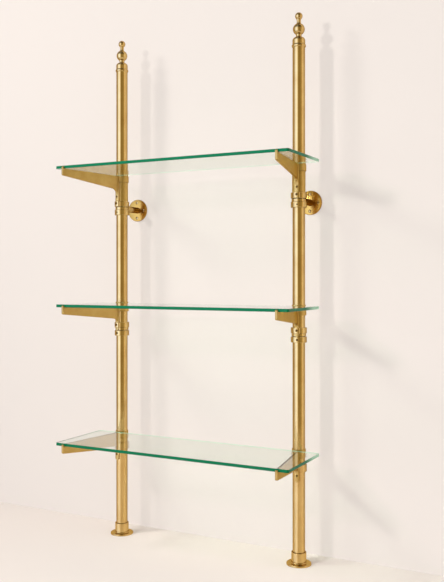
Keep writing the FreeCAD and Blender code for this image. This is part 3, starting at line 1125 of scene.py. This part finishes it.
# ---------------------------------------------------------------- studio
@dataclass(frozen=True)
class Lamp:
    """A round soft lamp, which matt surfaces see and gloss doesn't."""

    name: str
    watts: float
    diameter: float
    spread_degrees: float
    place: Point
    aim: Point

    def hang(self, colour: str) -> None:
        """Hang the lamp and point it.

        Args:
            colour: its light's colour.
        """
        light = bpy.data.lights.new(self.name, "AREA")
        light.shape, light.size = "DISK", self.diameter
        light.energy = self.watts
        light.spread = math.radians(self.spread_degrees)
        light.color = linear(colour)[:3]
        lamp = bpy.data.objects.new(self.name, light)
        lamp.location = self.place
        lamp.visible_glossy = False
        way = Vector(self.aim) - Vector(self.place)
        lamp.rotation_euler = way.to_track_quat("-Z", "Y").to_euler()
        bpy.context.scene.collection.objects.link(lamp)


@dataclass
class Studio:
    """Floor, wall, lamps, world and camera."""

    wall_colour: str = "f3ede9"
    floor_colour: str = "f0e9e5"
    steady_tone: str = "f4ebe5"
    floor_steady_share: float = 0.12
    floor_gloss_pass: float = 0.42
    floor_gloss_glow: float = 3.4
    floor_reach: float = 3.0
    floor_fade: tuple[float, float] = (1.3, 2.7)
    wall_half_width: float = 7.0
    wall_height: float = 5.5
    wall_gap: float = 0.4 * MM
    # The key lamp aims wide of the object, to its right, so that the shadows on the left are
    # fainter. The side lamp lights evenly.
    lamps: tuple[Lamp, ...] = (
        Lamp("key", 32.0, 0.34, 104.0, (-1.33, -3.05, 2.10), (3.0, 0.1, 0.3)),
        Lamp("side", 34.0, 0.44, 180.0, (-1.77, -1.43, 2.45), (0.0, 0.1, 0.9)),
    )
    lamp_colour: str = "fffaf4"
    fill_colour: str = "fffdfa"
    fill_strength: float = 0.51
    background_colour: str = "f4ebe2"
    # Light that only gloss sees: its strength, how steep a ray is where it starts and ends to
    # dim, and the share that is left there.
    panel_strength: float = 3.3
    gloss_limit: tuple[float, float] = (0.30, 0.80)
    gloss_beyond: float = 0.22
    # Bearing of each stop from straight in front, in degrees towards the right, and its tone.
    panel_stops: tuple[tuple[float, str], ...] = (
        (-180, "8f876c"),
        (-112, "7a6f52"),
        (-70, "746a4e"),
        (-52, "a4b4dd"),
        (-24, "c4d3fc"),
        (-11, "bccbf2"),
        (6, "8e8668"),
        (19, "5f5337"),
        (44, "655c41"),
        (62, "71684c"),
        (77, "71664d"),
        (85, "cbc1a9"),
        (92, "786d55"),
        (120, "706750"),
        (180, "8f876c"),
    )
    # The camera stands level, and shifts its frame a little.
    eye: Point = (1.31870, -2.32580, 0.91549)
    yaw_degrees: float = 27.495
    focal_pixels: float = 812.27
    horizon_pixel: float = 277.18
    side_shift_pixels: float = 0.4
    image_height: float = 582.0
    sensor_mm: float = 36.0
    far_clip: float = 50.0

    def plane(self, name: str, corners: list[Point], paint: MattPaint) -> None:
        """Add one flat stage surface.

        Args:
            name: its name.
            corners: its corners, in order.
            paint: its finish.
        """
        mesh = bpy.data.meshes.new(name)
        mesh.from_pydata(corners, [], [tuple(range(len(corners)))])
        to_object(name, mesh, paint.make())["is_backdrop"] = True

    def surfaces(self, wall_y: float) -> None:
        """Floor, and a wall that only its front shows.

        Args:
            wall_y: where the backs of the wall flanges lie.
        """
        low = -self.wall_gap
        far = self.floor_reach
        floor = [(-far, -far, low), (far, -far, low), (far, far, low), (-far, far, low)]
        floor_paint = MattPaint(
            "floor paint",
            self.floor_colour,
            self.steady_tone,
            self.floor_steady_share,
            gloss_pass=self.floor_gloss_pass,
            gloss_glow=self.floor_gloss_glow,
            fade=self.floor_fade,
        )
        self.plane("stage_floor", floor, floor_paint)
        side, top, y = self.wall_half_width, self.wall_height, wall_y + self.wall_gap
        wall = [(-side, y, low), (side, y, low), (side, y, top), (-side, y, top)]
        wall_paint = MattPaint("wall paint", self.wall_colour, self.steady_tone, one_sided=True)
        self.plane("stage_wall", wall, wall_paint)

    def panels(self, tree: Tree) -> Socket:
        """Light round the room that only gloss sees, in bands by bearing, dim above and below.

        Args:
            tree: the world's tree.

        Returns:
            The shader.
        """
        way = add_node(tree, "ShaderNodeTexCoord").outputs["Generated"]
        split = add_node(tree, "ShaderNodeSeparateXYZ", Vector=way)
        towards = add_node(
            tree,
            "ShaderNodeMath",
            {"operation": "MULTIPLY"},
            in_0=split.outputs["Y"],
            in_1=-1.0,
        )
        bearing = add_node(
            tree,
            "ShaderNodeMath",
            {"operation": "ARCTAN2"},
            in_0=split.outputs["X"],
            in_1=towards.outputs["Value"],
        )
        turn = add_node(
            tree,
            "ShaderNodeMapRange",
            Value=bearing.outputs["Value"],
            From_Min=-math.pi,
            From_Max=math.pi,
        )
        ramp = add_node(tree, "ShaderNodeValToRGB", Fac=turn.outputs["Result"])
        self.fill_ramp(ramp.color_ramp)
        tilt = add_node(
            tree, "ShaderNodeMath", {"operation": "ABSOLUTE"}, in_0=split.outputs["Z"]
        )
        level = add_node(
            tree,
            "ShaderNodeMapRange",
            {"interpolation_type": "SMOOTHSTEP"},
            Value=tilt.outputs["Value"],
            From_Min=self.gloss_limit[0],
            From_Max=self.gloss_limit[1],
            To_Min=self.panel_strength,
            To_Max=self.panel_strength * self.gloss_beyond,
        )
        return add_node(
            tree,
            "ShaderNodeBackground",
            Color=ramp.outputs["Color"],
            Strength=level.outputs["Result"],
        ).outputs["Background"]

    def fill_ramp(self, ramp: bpy.types.ColorRamp) -> None:
        """Set the stops of the light round the room.

        Args:
            ramp: the ramp, whose two ends stand for straight behind.
        """
        for bearing, tone in self.panel_stops[1:-1]:
            ramp.elements.new((bearing + 180) / 360).color = linear(tone)
        ramp.elements[0].color = linear(self.panel_stops[0][1])
        ramp.elements[-1].color = linear(self.panel_stops[-1][1])

    def world(self) -> None:
        """Pale room for the eye and for matt surfaces, with banded light for gloss."""
        world = bpy.data.worlds.new("studio")
        bpy.context.scene.world = world
        world.use_nodes = True
        tree = world.node_tree
        tree.nodes.clear()
        panels = self.panels(tree)
        room = add_node(
            tree,
            "ShaderNodeBackground",
            Color=linear(self.fill_colour),
            Strength=self.fill_strength,
        )
        background = add_node(
            tree, "ShaderNodeBackground", Color=linear(self.background_colour), Strength=1.0
        )
        path = add_node(tree, "ShaderNodeLightPath")
        lit = add_node(
            tree,
            "ShaderNodeMixShader",
            in_0=path.outputs["Is Glossy Ray"],
            in_1=room.outputs["Background"],
            in_2=panels,
        )
        shown = add_node(
            tree,
            "ShaderNodeMath",
            {"operation": "MAXIMUM"},
            in_0=path.outputs["Is Camera Ray"],
            in_1=path.outputs["Is Transmission Ray"],
        )
        both = add_node(
            tree,
            "ShaderNodeMixShader",
            in_0=shown.outputs["Value"],
            in_1=lit.outputs["Shader"],
            in_2=background.outputs["Background"],
        )
        add_node(tree, "ShaderNodeOutputWorld", Surface=both.outputs["Shader"])

    def camera(self) -> None:
        """The camera, level, with a small shift for the framing."""
        data = bpy.data.cameras.new("camera")
        data.sensor_width = self.sensor_mm
        data.lens = self.focal_pixels / self.image_height * self.sensor_mm
        data.shift_y = (self.horizon_pixel - self.image_height / 2) / self.image_height
        data.shift_x = self.side_shift_pixels / self.image_height
        data.clip_end = self.far_clip
        camera = bpy.data.objects.new("camera", data)
        camera.location = self.eye
        camera.rotation_euler = (math.pi / 2, 0, math.radians(self.yaw_degrees))
        bpy.context.scene.collection.objects.link(camera)
        bpy.context.scene.camera = camera

    def build(self, wall_y: float) -> None:
        """Set up the whole studio.

        Args:
            wall_y: where the backs of the wall flanges lie.
        """
        self.surfaces(wall_y)
        for lamp in self.lamps:
            lamp.hang(self.lamp_colour)
        self.world()
        self.camera()
        bpy.context.scene.view_settings.view_transform = "Standard"


def main() -> None:
    """Build the visual model and the studio."""
    logging.basicConfig(level=logging.INFO, format="%(name)s: %(message)s")
    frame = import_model()
    cad_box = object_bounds()
    shop = Workshop(frame)
    for side in Side:
        Post(side).build(shop)
        WallFixing(side).build(shop)
        for level in Level:
            Bracket(level, side).build(shop)
    for level in Level:
        Shelf(level).build(shop)
    Studio().build(cad_box[1].y)


if __name__ == "__main__":
    main()
